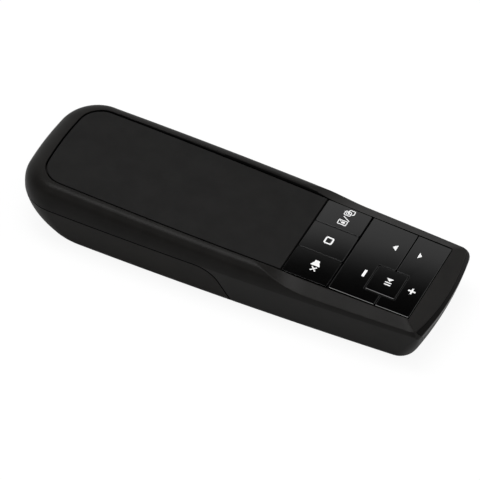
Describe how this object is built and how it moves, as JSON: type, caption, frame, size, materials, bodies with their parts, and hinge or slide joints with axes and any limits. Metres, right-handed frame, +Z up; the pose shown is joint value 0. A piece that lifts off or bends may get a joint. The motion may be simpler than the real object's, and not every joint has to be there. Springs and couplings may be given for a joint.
{
  "type": "wireless presentation clicker",
  "caption": "Long wedge-shaped hand-held presentation clicker with a matt panel, glossy flush keys and rocker plates, and a slide-off battery cover.",
  "frame": {"origin": "on the table under the middle of the clicker", "axes": "+X towards the pointing end, +Y to the side with the power slider, +Z up out of the keys"},
  "size_m": [0.1321, 0.0424, 0.0216],
  "materials": {
    "housing_plastic": "satin, fine texture",
    "cover_plastic": "satin, fine texture",
    "base_plastic": "fine texture",
    "panel_skin": "soft matt",
    "window_gloss": "clear gloss",
    "key_gloss": "piano gloss",
    "guide_plastic": "moulded",
    "mat_silicone": "soft matt",
    "dome_steel": "pressed",
    "board_mask": "solder mask",
    "chip_resin": "moulded",
    "can_metal": "smooth",
    "led_lens": "clear",
    "slider_plastic": "moulded",
    "cell_jacket": "printed film",
    "spring_steel": "bright",
    "contact_plate": "nickel",
    "lead_sleeve": "soft",
    "receiver_plastic": "moulded",
    "plug_shell": "nickel",
    "screw_steel": "zinc"
  },
  "bodies": {
    "case": {"housing": "housing_plastic", "base": "base_plastic", "top_panel": "panel_skin", "end_window": "window_gloss", "key_guide": "guide_plastic", "keypad_mat": "mat_silicone", "snap_domes": "dome_steel", "circuit_board": "board_mask", "control_chip": "chip_resin", "radio_chip": "chip_resin", "crystal": "can_metal", "status_led": "led_lens", "switch_body": "can_metal", "cell_far": "cell_jacket", "cell_near": "cell_jacket", "cell_springs": "spring_steel", "spring_contact": "contact_plate", "plate_contact": "contact_plate", "bridge_contact": "contact_plate", "battery_leads": "lead_sleeve", "receiver_body": "receiver_plastic", "receiver_plug": "plug_shell", "housing_screws": "screw_steel"},
    "cover": {"battery_cover": "cover_plastic"},
    "window_key": {"key_window": "key_gloss"},
    "blank_key": {"key_blank": "key_gloss"},
    "mute_key": {"key_mute": "key_gloss"},
    "play_key": {"key_play": "key_gloss"},
    "rear_rocker": {"rocker_rear": "key_gloss"},
    "front_rocker": {"rocker_front": "key_gloss"},
    "slider": {"power_slider": "slider_plastic"}
  },
  "joints": [
    {"name": "cover_slide", "type": "slide", "parent": "case", "child": "cover", "axis": [-1, 0, 0], "range_m": [0, 0.07]},
    {"name": "window_press", "type": "slide", "parent": "case", "child": "window_key", "axis": [-0.0382, 0, -0.9993], "range_m": [0, 0.0005], "stiffness_N_per_m": 3000},
    {"name": "blank_press", "type": "slide", "parent": "case", "child": "blank_key", "axis": [-0.0382, 0, -0.9993], "range_m": [0, 0.0005], "stiffness_N_per_m": 3000},
    {"name": "mute_press", "type": "slide", "parent": "case", "child": "mute_key", "axis": [-0.0382, 0, -0.9993], "range_m": [0, 0.0005], "stiffness_N_per_m": 3000},
    {"name": "play_press", "type": "slide", "parent": "case", "child": "play_key", "axis": [-0.0382, 0, -0.9993], "range_m": [0, 0.0005], "stiffness_N_per_m": 3000},
    {"name": "rear_rock", "type": "hinge", "parent": "case", "child": "rear_rocker", "pos_m": [0.0395, 0.0013, 0.01566], "axis": [0.9993, 0, -0.0382], "range_deg": [-2.4, 2.4], "stiffness_Nm_per_rad": 0.15},
    {"name": "front_rock", "type": "hinge", "parent": "case", "child": "front_rocker", "pos_m": [0.05659, 0.0013, 0.01501], "axis": [0.9993, 0, -0.0382], "range_deg": [-2.4, 2.4], "stiffness_Nm_per_rad": 0.15},
    {"name": "power_slide", "type": "slide", "parent": "case", "child": "slider", "axis": [1, 0, 0], "range_m": [0, 0.0024]}
  ]
}
